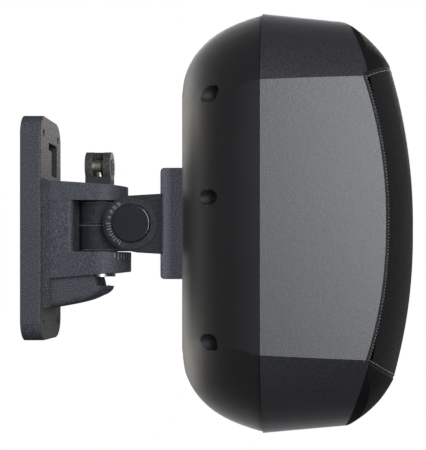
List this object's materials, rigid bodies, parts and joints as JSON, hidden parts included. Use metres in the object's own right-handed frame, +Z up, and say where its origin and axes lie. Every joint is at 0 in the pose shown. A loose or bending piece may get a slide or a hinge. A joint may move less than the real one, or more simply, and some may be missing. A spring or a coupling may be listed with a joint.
{
  "type": "surface-mount speaker",
  "caption": "Curved two-way loudspeaker cabinet on a pan and tilt yoke bracket with a wall plate and a quick-release cam lever.",
  "frame": {"origin": "centre of the wall plate's back face, in the middle of its four wall screws", "axes": "+X out of the wall towards the grille, +Y to the side away from the picture's camera, +Z up"},
  "size_m": [0.3004, 0.214, 0.326],
  "materials": {
    "bracket": "fine textured powder coat",
    "lever": "satin cast",
    "steel": "plain",
    "nylon": "plain",
    "brass": "turned",
    "cap": "smooth satin",
    "rear_plastic": "smooth satin",
    "front_plastic": "fine textured",
    "rubber": "matt",
    "grille_steel": "perforated, satin black",
    "inner_plastic": "moulded",
    "frame_metal": "pressed steel",
    "ferrite": "ferrite",
    "copper": "wound wire",
    "cone": "pressed pulp",
    "cloth": "doped cloth",
    "board": "circuit board",
    "capacitor": "sleeved"
  },
  "bodies": {
    "wall_bracket": {"wall_plate": "bracket", "cable_hood": "bracket", "pan_bolt": "steel", "lower_washer": "nylon", "upper_washer": "nylon", "cam_seat": "bracket", "cam_barrel": "brass"},
    "lever": {"cam_lever": "lever"},
    "knuckle": {"knuckle_upper": "bracket", "knuckle_lower": "bracket"},
    "speaker": {"tilt_neck": "bracket", "tilt_spindle": "steel", "dial_ring_near": "bracket", "dial_ring_far": "bracket", "tilt_cap_near": "cap", "tilt_cap_far": "cap", "neck_screws": "steel", "rear_shell": "rear_plastic", "front_shell": "front_plastic", "seam_gasket": "rubber", "cabinet_screws": "steel", "grille": "grille_steel", "baffle": "inner_plastic", "baffle_screws": "steel", "woofer_frame": "frame_metal", "woofer_back_plate": "steel", "woofer_magnet": "ferrite", "woofer_front_plate": "steel", "woofer_surround": "rubber", "woofer_spider": "cloth", "tweeter_plate": "inner_plastic", "tweeter_dome": "cone", "tweeter_magnet": "ferrite", "port_tube": "inner_plastic", "crossover_board": "board", "crossover_coils": "copper", "crossover_capacitors": "capacitor", "terminal_cup": "inner_plastic", "binding_posts": "brass"},
    "cone": {"voice_coil": "copper", "woofer_cone": "cone", "dust_cap": "cone"}
  },
  "joints": [
    {"name": "pan_swivel", "type": "hinge", "parent": "wall_bracket", "child": "knuckle", "pos_m": [0.054, 0, 0.0017], "axis": [0, 0, 1], "range_deg": [-45, 45]},
    {"name": "tilt_hinge", "type": "hinge", "parent": "knuckle", "child": "speaker", "pos_m": [0.0828, 0, 0.0034], "axis": [0, 1, 0], "range_deg": [-30, 30]},
    {"name": "lever_swing", "type": "hinge", "parent": "wall_bracket", "child": "lever", "pos_m": [0.054, 0, 0.0492], "axis": [1, 0, 0], "range_deg": [0, 100]},
    {"name": "cone_travel", "type": "slide", "parent": "speaker", "child": "cone", "axis": [1, 0, 0], "range_m": [-0.004, 0.004], "stiffness_N_per_m": 900, "deforming": ["woofer_surround", "woofer_spider"]}
  ]
}
